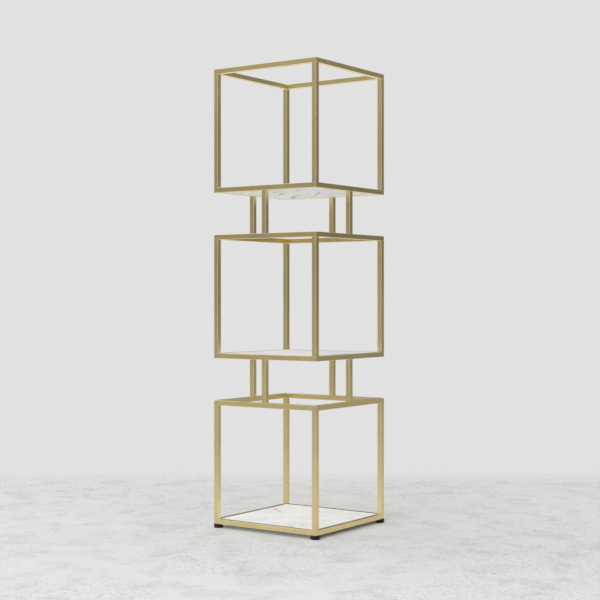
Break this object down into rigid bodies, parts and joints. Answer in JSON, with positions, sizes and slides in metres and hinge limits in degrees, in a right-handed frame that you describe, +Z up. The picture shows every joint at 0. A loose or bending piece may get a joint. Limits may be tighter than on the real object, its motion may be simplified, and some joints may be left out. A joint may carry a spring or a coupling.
{
  "type": "display shelf",
  "caption": "Tall open display tower: stacked square-tube cube frames joined by short posts, with a marble slab set in the base of each cube and levelling feet below.",
  "frame": {"origin": "on the floor, under the middle of the shelf, with the levelling feet screwed right in", "axes": "+Z up; the front face of the shelf looks along -Y; +X is to the right of someone who faces the front"},
  "size_m": [0.409, 0.409, 1.484],
  "materials": {
    "gold_tube": "satin",
    "marble": "polished",
    "black_nylon": "satin",
    "zinc_steel": "satin",
    "clear_silicone": "satin",
    "cap_plastic": "satin"
  },
  "bodies": {
    "frame": {"lower_base_rail_back": "gold_tube", "lower_base_rail_front": "gold_tube", "lower_base_rail_left": "gold_tube", "lower_base_rail_right": "gold_tube", "lower_top_rail_back": "gold_tube", "lower_top_rail_front": "gold_tube", "lower_top_rail_left": "gold_tube", "lower_top_rail_right": "gold_tube", "lower_upright_back_left": "gold_tube", "lower_upright_back_right": "gold_tube", "lower_upright_front_left": "gold_tube", "lower_upright_front_right": "gold_tube", "middle_base_rail_back": "gold_tube", "middle_base_rail_front": "gold_tube", "middle_base_rail_left": "gold_tube", "middle_base_rail_right": "gold_tube", "middle_top_rail_back": "gold_tube", "middle_top_rail_front": "gold_tube", "middle_top_rail_left": "gold_tube", "middle_top_rail_right": "gold_tube", "middle_upright_back_left": "gold_tube", "middle_upright_back_right": "gold_tube", "middle_upright_front_left": "gold_tube", "middle_upright_front_right": "gold_tube", "post_back_below_middle": "gold_tube", "post_back_below_upper": "gold_tube", "post_front_below_middle": "gold_tube", "post_front_below_upper": "gold_tube", "post_left_below_middle": "gold_tube", "post_left_below_upper": "gold_tube", "post_right_below_middle": "gold_tube", "post_right_below_upper": "gold_tube", "post_screws": "zinc_steel", "screw_hole_caps": "cap_plastic", "slab_bumpers": "clear_silicone", "slab_tabs": "gold_tube", "threaded_inserts": "zinc_steel", "upper_base_rail_back": "gold_tube", "upper_base_rail_front": "gold_tube", "upper_base_rail_left": "gold_tube", "upper_base_rail_right": "gold_tube", "upper_top_rail_back": "gold_tube", "upper_top_rail_front": "gold_tube", "upper_top_rail_left": "gold_tube", "upper_top_rail_right": "gold_tube", "upper_upright_back_left": "gold_tube", "upper_upright_back_right": "gold_tube", "upper_upright_front_left": "gold_tube", "upper_upright_front_right": "gold_tube"},
    "lower_slab": {"lower_slab": "marble"},
    "middle_slab": {"middle_slab": "marble"},
    "upper_slab": {"upper_slab": "marble"},
    "foot_pad_front_left": {"foot_pad_front_left": "black_nylon"},
    "foot_stud_front_left": {"foot_stud_front_left": "zinc_steel"},
    "foot_pad_front_right": {"foot_pad_front_right": "black_nylon"},
    "foot_stud_front_right": {"foot_stud_front_right": "zinc_steel"},
    "foot_pad_back_right": {"foot_pad_back_right": "black_nylon"},
    "foot_stud_back_right": {"foot_stud_back_right": "zinc_steel"},
    "foot_pad_back_left": {"foot_pad_back_left": "black_nylon"},
    "foot_stud_back_left": {"foot_stud_back_left": "zinc_steel"}
  },
  "joints": [
    {"name": "lower_slab_lift", "type": "slide", "parent": "frame", "child": "lower_slab", "axis": [0, 0, 1], "range_m": [0, 0.355]},
    {"name": "middle_slab_lift", "type": "slide", "parent": "frame", "child": "middle_slab", "axis": [0, 0, 1], "range_m": [0, 0.355]},
    {"name": "upper_slab_lift", "type": "slide", "parent": "frame", "child": "upper_slab", "axis": [0, 0, 1], "range_m": [0, 0.355]},
    {"name": "foot_slide_front_left", "type": "slide", "parent": "frame", "child": "foot_pad_front_left", "axis": [0, 0, -1], "range_m": [0, 0.008]},
    {"name": "foot_turn_front_left", "type": "hinge", "parent": "foot_pad_front_left", "child": "foot_stud_front_left", "pos_m": [-0.1895, -0.1895, 0.012], "axis": [0, 0, -1], "range_deg": [0, 2880]},
    {"name": "foot_slide_front_right", "type": "slide", "parent": "frame", "child": "foot_pad_front_right", "axis": [0, 0, -1], "range_m": [0, 0.008]},
    {"name": "foot_turn_front_right", "type": "hinge", "parent": "foot_pad_front_right", "child": "foot_stud_front_right", "pos_m": [0.1895, -0.1895, 0.012], "axis": [0, 0, -1], "range_deg": [0, 2880]},
    {"name": "foot_slide_back_right", "type": "slide", "parent": "frame", "child": "foot_pad_back_right", "axis": [0, 0, -1], "range_m": [0, 0.008]},
    {"name": "foot_turn_back_right", "type": "hinge", "parent": "foot_pad_back_right", "child": "foot_stud_back_right", "pos_m": [0.1895, 0.1895, 0.012], "axis": [0, 0, -1], "range_deg": [0, 2880]},
    {"name": "foot_slide_back_left", "type": "slide", "parent": "frame", "child": "foot_pad_back_left", "axis": [0, 0, -1], "range_m": [0, 0.008]},
    {"name": "foot_turn_back_left", "type": "hinge", "parent": "foot_pad_back_left", "child": "foot_stud_back_left", "pos_m": [-0.1895, 0.1895, 0.012], "axis": [0, 0, -1], "range_deg": [0, 2880]}
  ],
  "couplings": [
    {"joint": "foot_turn_front_left", "follows": "foot_slide_front_left", "rad_per_m": 6283},
    {"joint": "foot_turn_front_right", "follows": "foot_slide_front_right", "rad_per_m": 6283},
    {"joint": "foot_turn_back_right", "follows": "foot_slide_back_right", "rad_per_m": 6283},
    {"joint": "foot_turn_back_left", "follows": "foot_slide_back_left", "rad_per_m": 6283}
  ]
}
